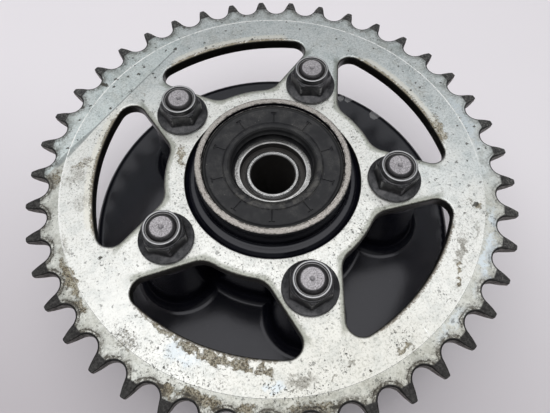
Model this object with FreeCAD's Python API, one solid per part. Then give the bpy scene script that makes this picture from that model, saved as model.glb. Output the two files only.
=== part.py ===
import FreeCAD, Part
import math
import os

# Motorcycle rear sprocket on its mounting drum. All sizes are millimetres.
# +Z runs along the wheel axle towards the chain side. The origin is on the axle's axis, on the surface
# that the drum's damper vanes stand on. The first stud lies in the -Y direction.

# ---- heights above the standing surface ----
sprocket_middle = 74.0
disc_top = 33.0
disc_underside = 25.0
skirt_bottom = 16.0
tube_bottom = 8.0
boss_top = 89.2
stud_bottom = 44.0
stud_top = 89.9
bearing_middle = 72.8
hub_seal_bottom = 82.3
hub_seal_face = 87.1
hub_seal_rim = 87.6
hub_seal_skin = 1.1
hub_seal_case_thickness = 1.0
sleeve_bottom = 17.0
sleeve_top = 78.9

# ---- sprocket ----
tooth_count = 42
chain_pitch = 15.875
roller_seat_radius = 5.2
roller_seat_half_angle = 72.0
tooth_flank_radius = 60.0
tooth_tip_radius = 110.7
tooth_bevel_start = 103.6
tooth_tip_thickness = 2.3
plate_thickness = 6.0
rim_thickness = 5.6
rim_step_radius = 95.5
sprocket_bore_radius = 40.0
edge_rounding = 0.7

# ---- sprocket windows, with the window's middle in the +Y direction ----
window_corner_x = 30.4
window_corner_y = 68.7
window_corner_radius = 6.3
window_outer_centre_y = -13.5
window_side_slope = 38.0
window_inner_radius = 49.35
window_root_radius = 10.0

# ---- studs and nuts ----
stud_count = 5
stud_circle_radius = 55.0
first_stud_angle = -90.0
stud_radius = 6.0
stud_hole_radius = 6.25
nut_flange_radius = 12.05
nut_across_flats = 17.0
nut_hexagon_height = 9.5
nut_collar_radius = 7.95
collar_mouth_radius = 6.8
lock_ring_radius = 7.2
lock_ring_depth = 2.2
lock_ring_cover = 0.6
nut_turns = [14.0, 23.3, 41.0, 51.3, 33.0]

# ---- mounting drum ----
drum_radius = 93.0
skirt_inner_radius = 87.5
hub_top_radius = 43.5
hub_base_radius = 44.8
pilot_radius = 39.95
boss_radius = 34.1
boss_mouth_radius = 31.4
boss_mouth_depth = 1.6
ledge_inner_height = 77.4
ledge_outer_height = 77.0
ledge_outer_radius = 37.4
pilot_chamfer_height = 75.6
hub_tube_base_radius = 43.5
hub_tube_end_radius = 42.5
recess_radius = 33.0
bearing_shoulder_radius = 27.0
bearing_shoulder_thickness = 5.0
column_top_radius = 14.0
column_base_radius = 16.2
column_base_fillet = 6.0
column_foot_width = 7.0
column_foot_depth = 3.0
register_radius = 36.0
register_depth = 8.0
vane_inner_radius = 39.0
vane_outer_radius = 81.0
vane_top_width = 17.0
vane_bottom_width = 13.0

# ---- ball bearing, 25 x 62 x 17 ----
bearing_bore_radius = 12.5
bearing_outer_radius = 31.0
bearing_width = 17.0
ball_count = 7
ball_radius = 5.72
ball_circle_radius = 21.75
race_groove_radius = 5.95
race_clearance = 0.035
inner_land_radius = 18.3
inner_face_radius = 17.3
inner_mouth_radius = 14.8
inner_mouth_depth = 3.9
outer_land_radius = 25.6
seal_seat_radius = 27.4
seal_seat_height = 6.9
seal_lip_radius = 17.4
cage_thickness = 0.8
cage_inner_radius = 19.6
cage_outer_radius = 23.9
cage_pocket_radius = 5.85

# ---- spacer sleeve ----
sleeve_bore_radius = 10.1
sleeve_tube_radius = 14.0
sleeve_shoulder_radius = 16.0

AXIS = FreeCAD.Vector(0, 0, 1)
ORIGIN = FreeCAD.Vector(0, 0, 0)


def polar(radius, degrees, height=0.0):
    angle = math.radians(degrees)
    return FreeCAD.Vector(radius * math.cos(angle), radius * math.sin(angle), height)


def unit(vector):
    return vector * (1.0 / vector.Length)


def arc(start, middle, end):
    return Part.Arc(start, middle, end).toShape()


def line(start, end):
    return Part.LineSegment(start, end).toShape()


def rounded_wire(corners):
    """Closed wire through (point, rounding) corners, each corner rounded by a tangent arc."""
    bends = []
    count = len(corners)
    for index, (corner, rounding) in enumerate(corners):
        back = unit(corners[index - 1][0] - corner)
        ahead = unit(corners[(index + 1) % count][0] - corner)
        if rounding == 0.0:
            bends.append((corner, None, corner))
            continue
        half_angle = back.getAngle(ahead) / 2.0
        reach = rounding / math.tan(half_angle)
        depth = rounding / math.sin(half_angle) - rounding
        middle = corner + unit(back + ahead) * depth
        bends.append((corner + back * reach, middle, corner + ahead * reach))
    edges = []
    for index, (start, middle, end) in enumerate(bends):
        if middle is not None:
            edges.append(arc(start, middle, end))
        following = bends[(index + 1) % count][0]
        if end.distanceToPoint(following) > 1e-6:
            edges.append(line(end, following))
    return Part.Wire(edges)


def turned(profile, x=0.0, y=0.0):
    """Solid turned about a vertical axis from (radius, height, rounding) corners."""
    corners = [(FreeCAD.Vector(radius, 0, height), rounding) for radius, height, rounding in profile]
    solid = Part.Face(rounded_wire(corners)).revolve(ORIGIN, AXIS, 360)
    solid.translate(FreeCAD.Vector(x, y, 0))
    return solid


def torus(ring_radius, tube_radius, height):
    return Part.makeTorus(ring_radius, tube_radius, FreeCAD.Vector(0, 0, height), AXIS)


def flat_ring(outer, inner, low, high):
    return turned([(inner, low, 0.0), (outer, low, 0.0), (outer, high, 0.0), (inner, high, 0.0)])


def cylinder(radius, low, high, x=0.0, y=0.0):
    return Part.makeCylinder(radius, high - low, FreeCAD.Vector(x, y, low), AXIS)


def spin(shape, degrees):
    copy = shape.copy()
    copy.rotate(ORIGIN, AXIS, degrees)
    return copy


def stud_angles():
    return [first_stud_angle + index * 360.0 / stud_count for index in range(stud_count)]


def tooth_gap_edges():
    """Edges of one tooth gap centred on +Y, from the tooth tip on its left to the one on its right."""
    pitch_radius = chain_pitch / 2.0 / math.sin(math.pi / tooth_count)
    seat_centre = FreeCAD.Vector(0, pitch_radius, 0)
    seat_end_direction = polar(1.0, roller_seat_half_angle - 90.0)
    seat_end = seat_centre + seat_end_direction * roller_seat_radius
    flank_centre = seat_end + seat_end_direction * tooth_flank_radius
    # the flank ends where its circle meets the tip circle
    distance = flank_centre.Length
    along = (distance ** 2 + tooth_tip_radius ** 2 - tooth_flank_radius ** 2) / (2.0 * distance)
    aside = math.sqrt(tooth_tip_radius ** 2 - along ** 2)
    outward = unit(flank_centre)
    tip = outward * along + FreeCAD.Vector(-outward.y, outward.x, 0) * aside
    flank_middle = flank_centre + unit((seat_end + tip) * 0.5 - flank_centre) * tooth_flank_radius

    def mirrored(point):
        return FreeCAD.Vector(-point.x, point.y, 0)

    seat_bottom = seat_centre - FreeCAD.Vector(0, roller_seat_radius, 0)
    edges = [arc(mirrored(tip), mirrored(flank_middle), mirrored(seat_end)),
             arc(mirrored(seat_end), seat_bottom, seat_end),
             arc(seat_end, flank_middle, tip)]
    return edges, tip


def toothed_outline():
    gap, tip = tooth_gap_edges()
    step = 360.0 / tooth_count
    tooth_middle = polar(tooth_tip_radius, 90.0 - step / 2.0)
    neighbour = spin(Part.Vertex(FreeCAD.Vector(-tip.x, tip.y, 0)), -step).Point
    gap.append(arc(tip, tooth_middle, neighbour))
    edges = []
    for index in range(tooth_count):
        edges += [spin(edge, -index * step) for edge in gap]
    return Part.Wire(edges)


def window_wire():
    """One window centred on +Y: a wide outer arc, round corners, straight sides and an inner arc."""
    corner = FreeCAD.Vector(window_corner_x, window_corner_y, 0)
    outer_centre = FreeCAD.Vector(0, window_outer_centre_y, 0)
    along_side = polar(1.0, window_side_slope)
    into_window = FreeCAD.Vector(-along_side.y, along_side.x, 0)
    outer_radius = (corner - outer_centre).Length + window_corner_radius
    outer_touch = corner + unit(corner - outer_centre) * window_corner_radius
    side_top = corner - into_window * window_corner_radius
    corner_middle = corner + unit(unit(corner - outer_centre) - into_window) * window_corner_radius
    # the root arc touches the straight side and the inner arc
    root_distance = window_inner_radius + window_root_radius
    height = side_top.dot(into_window) + window_root_radius
    root_centre = into_window * height + along_side * math.sqrt(root_distance ** 2 - height ** 2)
    side_bottom = root_centre - into_window * window_root_radius
    inner_touch = unit(root_centre) * window_inner_radius
    root_middle = root_centre - unit(into_window + unit(root_centre)) * window_root_radius
    outer_middle = outer_centre + FreeCAD.Vector(0, outer_radius, 0)
    inner_middle = FreeCAD.Vector(0, window_inner_radius, 0)

    def mirrored(point):
        return FreeCAD.Vector(-point.x, point.y, 0)

    edges = [arc(mirrored(outer_touch), outer_middle, outer_touch),
             arc(outer_touch, corner_middle, side_top),
             line(side_top, side_bottom),
             arc(side_bottom, root_middle, inner_touch),
             arc(inner_touch, inner_middle, mirrored(inner_touch)),
             arc(mirrored(inner_touch), mirrored(root_middle), mirrored(side_bottom)),
             line(mirrored(side_bottom), mirrored(side_top)),
             arc(mirrored(side_top), mirrored(corner_middle), mirrored(outer_touch))]
    return Part.Wire(edges)


def make_sprocket():
    top = sprocket_middle + plate_thickness / 2.0
    bottom = sprocket_middle - plate_thickness / 2.0
    rim_top = sprocket_middle + rim_thickness / 2.0
    rim_bottom = sprocket_middle - rim_thickness / 2.0
    tip_top = sprocket_middle + tooth_tip_thickness / 2.0
    tip_bottom = sprocket_middle - tooth_tip_thickness / 2.0
    beyond = tooth_tip_radius + 1.0
    blank = turned([(sprocket_bore_radius, bottom, 0.4), (rim_step_radius, bottom, 0.0),
                    (rim_step_radius, rim_bottom, 0.0), (tooth_bevel_start, rim_bottom, 6.0),
                    (tooth_tip_radius, tip_bottom, 0.0), (beyond, tip_bottom, 0.0),
                    (beyond, tip_top, 0.0), (tooth_tip_radius, tip_top, 0.0),
                    (tooth_bevel_start, rim_top, 6.0), (rim_step_radius, rim_top, 0.0),
                    (rim_step_radius, top, 0.0), (sprocket_bore_radius, top, 0.4)])
    outline = Part.Face(toothed_outline())
    outline.translate(FreeCAD.Vector(0, 0, bottom - 1.0))
    plate = outline.extrude(FreeCAD.Vector(0, 0, plate_thickness + 2.0)).common(blank)
    window = Part.Face(window_wire())
    window.translate(FreeCAD.Vector(0, 0, bottom))
    opening = window.extrude(FreeCAD.Vector(0, 0, plate_thickness))
    cutters = []
    for angle in stud_angles():
        cutters.append(spin(opening, angle - 90.0 + 180.0 / stud_count))
        centre = polar(stud_circle_radius, angle)
        cutters.append(cylinder(stud_hole_radius, bottom - 1.0, top + 1.0, centre.x, centre.y))
    plate = plate.cut(cutters)
    # the window edges are rounded on both faces, and the stud holes stay sharp
    mouth_edges = []
    for edge in plate.Edges:
        centre = edge.CenterOfMass
        radius = math.hypot(centre.x, centre.y)
        level = min(abs(centre.z - top), abs(centre.z - bottom))
        box = edge.BoundBox
        if level < 1e-3 and box.ZLength < 1e-3 and 45.0 < radius < 90.0 and edge.Length < 90.0:
            stud = any((centre - polar(stud_circle_radius, angle, centre.z)).Length < 1.0
                       for angle in stud_angles())
            if not stud:
                mouth_edges.append(edge)
    return plate.makeFillet(edge_rounding, mouth_edges)


def make_vane():
    """A damper vane along +X that narrows towards its free end."""
    sections = []
    for height, width in ((disc_underside + 1.0, vane_top_width), (0.0, vane_bottom_width)):
        corners = [(FreeCAD.Vector(vane_inner_radius, -width / 2.0, height), 2.0),
                   (FreeCAD.Vector(vane_outer_radius, -width / 2.0, height), 5.0),
                   (FreeCAD.Vector(vane_outer_radius, width / 2.0, height), 5.0),
                   (FreeCAD.Vector(vane_inner_radius, width / 2.0, height), 2.0)]
        sections.append(rounded_wire(corners))
    return Part.makeLoft(sections, True, True)


def make_carrier():
    seat = sprocket_middle - plate_thickness / 2.0
    bearing_bottom = bearing_middle - bearing_width / 2.0
    register_top = tube_bottom + register_depth
    shoulder_bottom = bearing_bottom - bearing_shoulder_thickness
    body = turned([(boss_mouth_radius, boss_top, 0.0), (boss_radius, boss_top, 0.4),
                   (boss_radius, ledge_inner_height, 1.8), (ledge_outer_radius, ledge_outer_height, 1.5),
                   (pilot_radius - 0.75, pilot_chamfer_height, 0.5),
                   (pilot_radius, pilot_chamfer_height - 0.6, 0.0),
                   (pilot_radius, seat, 0.0), (hub_top_radius, seat, 0.8),
                   (hub_base_radius, disc_top, 5.0), (drum_radius, disc_top, 4.5),
                   (drum_radius, skirt_bottom, 1.0), (skirt_inner_radius, skirt_bottom, 1.0),
                   (skirt_inner_radius, disc_underside, 2.0),
                   (hub_tube_base_radius, disc_underside, 3.0),
                   (hub_tube_end_radius, tube_bottom, 1.0), (register_radius, tube_bottom, 0.6),
                   (register_radius, register_top, 0.0), (recess_radius + 1.5, register_top, 0.0),
                   (recess_radius, shoulder_bottom - 0.5, 3.0),
                   (bearing_shoulder_radius, shoulder_bottom, 1.0),
                   (bearing_shoulder_radius, bearing_bottom, 0.0),
                   (bearing_outer_radius, bearing_bottom, 0.0),
                   (bearing_outer_radius, boss_top - boss_mouth_depth - 0.4, 0.0),
                   (boss_mouth_radius, boss_top - boss_mouth_depth, 0.0)])
    foot_radius = column_base_radius + column_foot_width
    foot_bottom = disc_top - column_foot_depth
    additions = []
    holes = []
    vane = make_vane()
    for angle in stud_angles():
        centre = polar(stud_circle_radius, angle)
        additions.append(turned([(0.0, seat, 0.0), (column_top_radius, seat, 0.8),
                                 (column_base_radius, disc_top, column_base_fillet),
                                 (foot_radius, disc_top, 0.0), (foot_radius, foot_bottom, 0.0),
                                 (0.0, foot_bottom, 0.0)], centre.x, centre.y))
        additions.append(spin(vane, angle))
        holes.append(cylinder(stud_radius, stud_bottom, seat + 1.0, centre.x, centre.y))
    core = cylinder(register_radius, 0.0, boss_top)
    solid_parts = [part.cut(core) for part in additions]
    return body.fuse(solid_parts).cut(holes).removeSplitter()


def make_stud(x, y):
    """Threaded stud with a chamfered end and a small centre mark."""
    return turned([(0.0, stud_bottom, 0.0), (stud_radius - 1.0, stud_bottom, 0.0),
                   (stud_radius, stud_bottom + 1.0, 0.0), (stud_radius, stud_top - 0.7, 0.0),
                   (stud_radius - 1.05, stud_top, 0.2), (1.0, stud_top, 0.0),
                   (0.0, stud_top - 0.5, 0.0)], x, y)


def make_nut(x, y, turn):
    """Flange nut with a hexagon and a round collar crimped over a locking ring."""
    seat = sprocket_middle + plate_thickness / 2.0
    corner_radius = nut_across_flats / 2.0 / math.cos(math.pi / 6.0)
    hexagon_top = seat + nut_hexagon_height
    ring_bottom = boss_top - lock_ring_depth
    ring_top = boss_top - lock_ring_cover
    points = [polar(corner_radius, turn + index * 60.0, seat + 1.0) for index in range(7)]
    hexagon = Part.Face(Part.makePolygon(points)).extrude(FreeCAD.Vector(0, 0, hexagon_top - seat - 1.0))
    shaping = turned([(0.0, seat, 0.0), (corner_radius + 0.1, seat, 0.0),
                      (corner_radius + 0.1, hexagon_top - 1.4, 0.0), (8.3, hexagon_top, 0.0),
                      (0.0, hexagon_top, 0.0)])
    flange = turned([(0.0, seat, 0.0), (nut_flange_radius, seat, 0.35),
                     (nut_flange_radius, seat + 1.3, 0.5), (9.6, seat + 2.6, 0.0), (0.0, seat + 3.4, 0.0)])
    collar = turned([(0.0, hexagon_top - 1.0, 0.0), (nut_collar_radius, hexagon_top - 1.0, 0.0),
                     (nut_collar_radius, boss_top, 0.6), (collar_mouth_radius, boss_top, 0.2),
                     (collar_mouth_radius, ring_top, 0.0), (lock_ring_radius, ring_top, 0.0),
                     (lock_ring_radius, ring_bottom, 0.0), (0.0, ring_bottom, 0.0)])
    nut = hexagon.common(shaping).fuse([flange, collar]).removeSplitter()
    nut = nut.cut(cylinder(stud_radius, seat - 1.0, boss_top))
    nut.translate(FreeCAD.Vector(x, y, 0))
    return nut


def make_lock_ring(x, y):
    ring_bottom = boss_top - lock_ring_depth
    ring_top = boss_top - lock_ring_cover
    return turned([(stud_radius, ring_bottom, 0.0), (lock_ring_radius, ring_bottom, 0.0),
                   (lock_ring_radius, ring_top, 0.0), (stud_radius + 0.5, ring_top, 0.3),
                   (stud_radius, ring_top - 0.4, 0.0)], x, y)


def at_each_stud(maker):
    """One compound of separate solids, with a maker's piece at every stud."""
    centres = [polar(stud_circle_radius, angle) for angle in stud_angles()]
    return Part.makeCompound([maker(centre.x, centre.y) for centre in centres])


def make_nuts():
    pieces = []
    for angle, turn in zip(stud_angles(), nut_turns):
        centre = polar(stud_circle_radius, angle)
        pieces.append(make_nut(centre.x, centre.y, turn))
    return Part.makeCompound(pieces)


def make_outer_ring():
    half = bearing_width / 2.0
    seat = seal_seat_height
    ring = turned([(bearing_outer_radius, bearing_middle - half, 1.0),
                   (bearing_outer_radius, bearing_middle + half, 1.0),
                   (seal_seat_radius, bearing_middle + half, 0.2),
                   (seal_seat_radius, bearing_middle + seat, 0.0),
                   (outer_land_radius, bearing_middle + seat, 0.2),
                   (outer_land_radius, bearing_middle - seat, 0.2),
                   (seal_seat_radius, bearing_middle - seat, 0.0),
                   (seal_seat_radius, bearing_middle - half, 0.2)])
    groove_circle = ball_circle_radius + ball_radius + race_clearance - race_groove_radius
    return ring.cut(torus(groove_circle, race_groove_radius, bearing_middle))


def make_inner_ring():
    half = bearing_width / 2.0
    step = seal_seat_height - 0.2
    ring = turned([(bearing_bore_radius, bearing_middle - half, 1.3),
                   (inner_face_radius, bearing_middle - half, 0.3),
                   (inner_face_radius, bearing_middle - step, 0.0),
                   (inner_land_radius, bearing_middle - step, 0.2),
                   (inner_land_radius, bearing_middle + step, 0.2),
                   (inner_face_radius, bearing_middle + step, 0.0),
                   (inner_face_radius, bearing_middle + half, 0.3),
                   (inner_mouth_radius, bearing_middle + half, 0.25),
                   (inner_mouth_radius, bearing_middle + half - inner_mouth_depth, 0.3),
                   (bearing_bore_radius, bearing_middle + half - inner_mouth_depth, 0.0)])
    groove_circle = ball_circle_radius - ball_radius - race_clearance + race_groove_radius
    return ring.cut(torus(groove_circle, race_groove_radius, bearing_middle))


def make_balls():
    balls = []
    for index in range(ball_count):
        centre = polar(ball_circle_radius, 90.0 + index * 360.0 / ball_count, bearing_middle)
        balls.append(Part.makeSphere(ball_radius, centre))
    return Part.makeCompound(balls)


def make_cage_half(side):
    """Pressed steel ribbon on one side of the ball circle: side is 1 above and -1 below."""
    shell_radius = cage_pocket_radius + cage_thickness
    low = bearing_middle + min(0.0, side * cage_thickness)
    high = bearing_middle + max(0.0, side * cage_thickness)
    ribbon = flat_ring(cage_outer_radius, cage_inner_radius, low, high)
    reach = side * (shell_radius + 1.0)
    band = flat_ring(cage_outer_radius, cage_inner_radius, bearing_middle + min(0.0, reach),
                     bearing_middle + max(0.0, reach))
    domes = []
    pockets = []
    for index in range(ball_count):
        step = 360.0 / ball_count
        centre = polar(ball_circle_radius, 90.0 + index * step, bearing_middle)
        domes.append(Part.makeSphere(shell_radius, centre).common(band))
        pockets.append(Part.makeSphere(cage_pocket_radius, centre))
        rivet = polar(ball_circle_radius, 90.0 + (index + 0.5) * step)
        pockets.append(cylinder(1.0, bearing_middle - 2.0, bearing_middle + 2.0, rivet.x, rivet.y))
    return ribbon.fuse(domes).cut(pockets).removeSplitter()


def make_cage_rivets():
    rivets = []
    shank = cage_thickness
    for index in range(ball_count):
        centre = polar(ball_circle_radius, 90.0 + (index + 0.5) * 360.0 / ball_count)
        half = [(1.0, shank, 0.0), (1.6, shank, 0.0), (1.6, shank + 0.5, 0.3), (0.0, shank + 0.5, 0.0)]
        upper = [(radius, bearing_middle + height, bend) for radius, height, bend in half]
        lower = [(radius, bearing_middle - height, bend) for radius, height, bend in reversed(half)]
        rivets.append(turned(lower + upper, centre.x, centre.y))
    return Part.makeCompound(rivets)


def bearing_seal_level(side, height):
    return bearing_middle + side * height


def make_bearing_seal(side):
    """Rubber contact seal of the bearing, bonded to a steel plate behind it."""
    profile = [(seal_lip_radius, 7.5, 0.1), (18.4, 7.0, 0.2), (19.2, 7.4, 0.0),
               (seal_seat_radius, 7.4, 0.0), (seal_seat_radius, 8.2, 0.2), (26.0, 8.2, 0.3),
               (25.4, 7.9, 0.3), (19.0, 7.9, 0.3), (seal_lip_radius, 8.1, 0.2)]
    return turned([(radius, bearing_seal_level(side, height), bend) for radius, height, bend in profile])


def make_bearing_seal_plate(side):
    profile = [(19.4, 6.9, 0.0), (seal_seat_radius, 6.9, 0.0), (seal_seat_radius, 7.4, 0.0),
               (19.4, 7.4, 0.0)]
    return turned([(radius, bearing_seal_level(side, height), bend) for radius, height, bend in profile])


def make_hub_seal_rubber():
    """Radial lip seal in front of the bearing, with a main lip, a dust lip and a raised inner band."""
    case_top = hub_seal_face - hub_seal_skin
    case_underside = case_top - hub_seal_case_thickness
    body = turned([(31.0, hub_seal_bottom, 0.4), (31.0, hub_seal_rim, 0.5), (29.7, hub_seal_rim, 0.3),
                   (29.2, hub_seal_face, 0.3), (22.4, hub_seal_face, 0.2), (21.9, hub_seal_face + 0.3, 0.2),
                   (19.2, hub_seal_face + 0.3, 0.4), (18.1, 86.5, 0.15), (19.8, 85.6, 0.3),
                   (19.9, 84.8, 0.3), (18.1, 83.5, 0.1), (19.2, hub_seal_bottom, 0.2),
                   (21.6, hub_seal_bottom, 0.3), (21.6, case_underside, 0.0), (22.6, case_underside, 0.0),
                   (22.6, case_top, 0.0), (29.8, case_top, 0.0), (29.8, hub_seal_bottom, 0.0)])
    return body.cut(torus(20.9, 0.75, hub_seal_bottom + 1.0))


def make_hub_seal_case():
    case_top = hub_seal_face - hub_seal_skin
    case_underside = case_top - hub_seal_case_thickness
    return turned([(22.6, case_underside, 0.0), (22.6, case_top, 0.0), (29.8, case_top, 0.0),
                   (29.8, hub_seal_bottom, 0.0), (28.8, hub_seal_bottom, 0.0), (28.8, case_underside, 0.5)])


def make_hub_seal_spring():
    return torus(20.9, 0.75, hub_seal_bottom + 1.0)


def make_spacer_sleeve():
    """Shouldered sleeve through the inner ring, which the wheel axle passes through."""
    shoulder_top = bearing_middle - bearing_width / 2.0
    return turned([(sleeve_bore_radius, sleeve_bottom + 0.4, 0.0), (10.5, sleeve_bottom, 0.0),
                   (sleeve_tube_radius, sleeve_bottom, 0.6), (sleeve_tube_radius, shoulder_top - 4.0, 0.8),
                   (sleeve_shoulder_radius, shoulder_top - 4.0, 0.5),
                   (sleeve_shoulder_radius, shoulder_top, 0.3), (bearing_bore_radius, shoulder_top, 0.0),
                   (bearing_bore_radius, sleeve_top - 0.8, 0.0), (11.5, sleeve_top, 0.0),
                   (10.6, sleeve_top, 0.0), (sleeve_bore_radius, sleeve_top - 0.5, 0.0)])


def main():
    pieces = {
        "sprocket": make_sprocket(),
        "sprocket_carrier": make_carrier(),
        "carrier_studs": at_each_stud(make_stud),
        "flange_nuts": make_nuts(),
        "nut_lock_rings": at_each_stud(make_lock_ring),
        "bearing_outer_ring": make_outer_ring(),
        "bearing_inner_ring": make_inner_ring(),
        "bearing_balls": make_balls(),
        "cage_half_outer": make_cage_half(1),
        "cage_half_inner": make_cage_half(-1),
        "cage_rivets": make_cage_rivets(),
        "bearing_seal_outer": make_bearing_seal(1),
        "bearing_seal_inner": make_bearing_seal(-1),
        "bearing_seal_plate_outer": make_bearing_seal_plate(1),
        "bearing_seal_plate_inner": make_bearing_seal_plate(-1),
        "hub_seal_rubber": make_hub_seal_rubber(),
        "hub_seal_case": make_hub_seal_case(),
        "hub_seal_spring": make_hub_seal_spring(),
        "spacer_sleeve": make_spacer_sleeve(),
    }
    os.makedirs("parts", exist_ok=True)
    for name, shape in pieces.items():
        print(name, "valid", shape.isValid(), "solids", len(shape.Solids), "volume", round(shape.Volume, 1))
        shape.exportStep("parts/" + name + ".step")


main()
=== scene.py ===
import math
from functools import reduce

import bpy
from mathutils import Matrix, Vector
from mathutils.geometry import delaunay_2d_cdt


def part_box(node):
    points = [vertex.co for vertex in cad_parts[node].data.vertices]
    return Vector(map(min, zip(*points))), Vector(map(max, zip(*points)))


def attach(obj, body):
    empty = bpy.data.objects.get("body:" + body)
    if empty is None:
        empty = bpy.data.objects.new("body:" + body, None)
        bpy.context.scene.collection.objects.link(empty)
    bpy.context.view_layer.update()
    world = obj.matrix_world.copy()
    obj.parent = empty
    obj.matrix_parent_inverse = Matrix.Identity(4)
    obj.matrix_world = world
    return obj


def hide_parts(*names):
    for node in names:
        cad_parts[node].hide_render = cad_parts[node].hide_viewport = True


# Looks of a motorcycle rear sprocket on its mounting drum. Shapes are worked out in millimetres and
# stored in metres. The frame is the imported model's: +Z is the axle axis, the first stud lies at -Y.

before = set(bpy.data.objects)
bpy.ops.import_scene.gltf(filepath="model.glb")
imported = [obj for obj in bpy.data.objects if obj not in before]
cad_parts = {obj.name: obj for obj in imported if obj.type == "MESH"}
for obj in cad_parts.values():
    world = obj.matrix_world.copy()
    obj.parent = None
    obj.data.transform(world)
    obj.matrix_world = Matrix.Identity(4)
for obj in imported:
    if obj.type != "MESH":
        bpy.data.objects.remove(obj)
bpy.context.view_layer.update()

MM = 0.001
TAU = 2.0 * math.pi

# ---- sprocket ----
TOOTH_COUNT = 42
PITCH_RADIUS = 15.875 / 2.0 / math.sin(math.pi / TOOTH_COUNT)
SEAT_RADIUS = 5.2
SEAT_HALF_ANGLE = 72.0
FLANK_RADIUS = 60.0
TIP_RADIUS = 110.7
TIP_CORNER = 0.75
BEVEL_START = 103.6
BEVEL_BLEND = 0.7
TIP_HALF_THICKNESS = 1.15
PLATE_HALF_THICKNESS = 3.0
RIM_HALF_THICKNESS = 2.8
RIM_STEP_RADIUS = 95.5
BORE_RADIUS = 40.0
STUD_CIRCLE = 55.0
STUD_HOLE_RADIUS = 6.25
STUD_ANGLES = [-90.0 + 72.0 * index for index in range(5)]
PLATE_MIDDLE = (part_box("sprocket")[0].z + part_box("sprocket")[1].z) / 2.0 / MM
PLATE_TOP = PLATE_MIDDLE + PLATE_HALF_THICKNESS

# ---- window of the sprocket, with its middle in the +Y direction ----
WINDOW_CORNER = Vector((30.4, 68.7))
WINDOW_CORNER_RADIUS = 6.3
WINDOW_OUTER_CENTRE = Vector((0.0, -13.5))
WINDOW_SIDE_SLOPE = 38.0
WINDOW_INNER_RADIUS = 49.35
WINDOW_ROOT_RADIUS = 10.0

# ---- radii of the sprocket's rolled edges, and the circles of extra points on its face ----
WINDOW_ROUNDING = 1.1
HOLE_ROUNDING = 0.2
BORE_ROUNDING = 0.4
SEAT_ROUNDING = 0.95
TIP_ROUNDING = 0.35
ROUNDING_STEPS = 5
STEP_CIRCLES = (RIM_STEP_RADIUS - 0.3, RIM_STEP_RADIUS - 0.05, RIM_STEP_RADIUS + 0.05, RIM_STEP_RADIUS + 0.3)
STEP_CIRCLE_POINTS = 336
TOOTH_CIRCLES = (102.2, 102.9, 103.3, 103.7, 104.1, 104.5, 105.5, 106.6, 107.7, 108.8)

# ---- studs and nuts: outlines are (radius, height) from the nut's foot or the stud's end ----
STUD_RADIUS = 6.0
STUD_BOTTOM, STUD_TOP = (corner.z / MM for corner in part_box("carrier_studs"))
THREAD_PITCH = 1.25
THREAD_LENGTH = 14.0
THREAD_DEPTH = 0.62
THREAD_LEVELS = 6
STUD_END = [(5.85, -1), (5.45, -0.5), (5.1, -0.14), (4.95, -0.04), (4.75, 0), (4.2, -0.01),
            (3, -0.05), (1.5, -0.06), (1.15, -0.08), (0.9, -0.2), (0.3, -0.42)]
NUT_TURNS = [14.0, 23.3, 41.0, 51.3, 33.0]
NUT_HALF_WIDTH = 8.5
NUT_CORNER_RADIUS = 9.72
FLANGE_OUTLINE = [(11.3, 0), (11.75, 0.05), (11.98, 0.25), (12.05, 0.5), (12.05, 0.95), (11.98, 1.25),
                  (11.8, 1.42), (11.5, 1.52), (10.9, 1.78)]
FLANGE_SLOPE = 0.44
COLLAR_OUTLINE = [(8.42, 9.42), (8.25, 9.5), (8.1, 9.52), (8, 9.62), (7.95, 9.8), (7.95, 10.8),
                  (7.95, 11.55), (7.9, 11.85), (7.78, 12.05), (7.6, 12.16), (7.4, 12.2), (7.15, 12.18),
                  (6.95, 12.08), (6.83, 11.9), (6.8, 11.6), (7.2, 11.58), (7.2, 10.02), (6, 10),
                  (6, 0.35), (6.4, 0)]

# ---- lip seal in the boss: outlines are (radius, height) from its foot or from its face ----
SEAL_FACE_HEIGHT = 4.8
SEAL_RIM = [(31, 0.3), (31, 2.7), (31, 4.85), (30.9, 5.1), (30.65, 5.28), (30.3, 5.3),
            (29.85, 5.28), (29.55, 5.05)]
SEAL_FACE = [(29.3, 0.02)]
SEAL_FACE += [(radius, 0) for radius in (28.8, 28.2, 27.92, 27.8, 27.62, 27.48, 27.36, 27.22, 26, 25,
                                           24, 23.2, 22.7, 22.45)]
SEAL_FACE += [(22.3, -0.04), (22.2, -0.22), (22.05, -0.22), (21.9, 0), (21.6, 0.2), (21.2, 0.26),
              (20.3, 0.28), (19.75, 0.26), (19.62, 0.1), (19.5, 0.1), (19.4, 0.24), (19.15, 0.22),
              (19.02, 0.02), (18.9, 0.02), (18.8, 0.1), (18.5, -0.1), (18.2, -0.45), (18.13, -0.62)]
SEAL_LIPS = [(18.8, 3.75), (19.65, 3.3), (19.85, 2.8), (19.4, 2.2), (18.15, 1.28), (18.15, 1.12),
             (18.9, 0.3), (19.2, 0.02), (21.4, 0.02), (21.6, 0.3), (21.6, 2.6), (22.6, 2.7), (22.6, 3.7),
             (29.8, 3.7), (29.8, 0.02), (30.8, 0.02)]
SEAL_MARK_ANGLES = [0.8 + 36.0 * index for index in range(10)]
SEAL_MARK_DEPTH = 0.4

# ---- drum and bearing ----
DISC_TOP = 33.0
BOSS_TOP = 89.2
BOSS_FACE_MIDDLE = 32.75
REGISTER_RADIUS = 36.0
REGISTER_TOP = 16.0
BEARING_RADIUS = 31.0
BEARING_BOTTOM = 64.3


# ---- meshes ----

def add_object(name, data):
    item = bpy.data.objects.new(name, data)
    bpy.context.scene.collection.objects.link(item)
    return item


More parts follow.
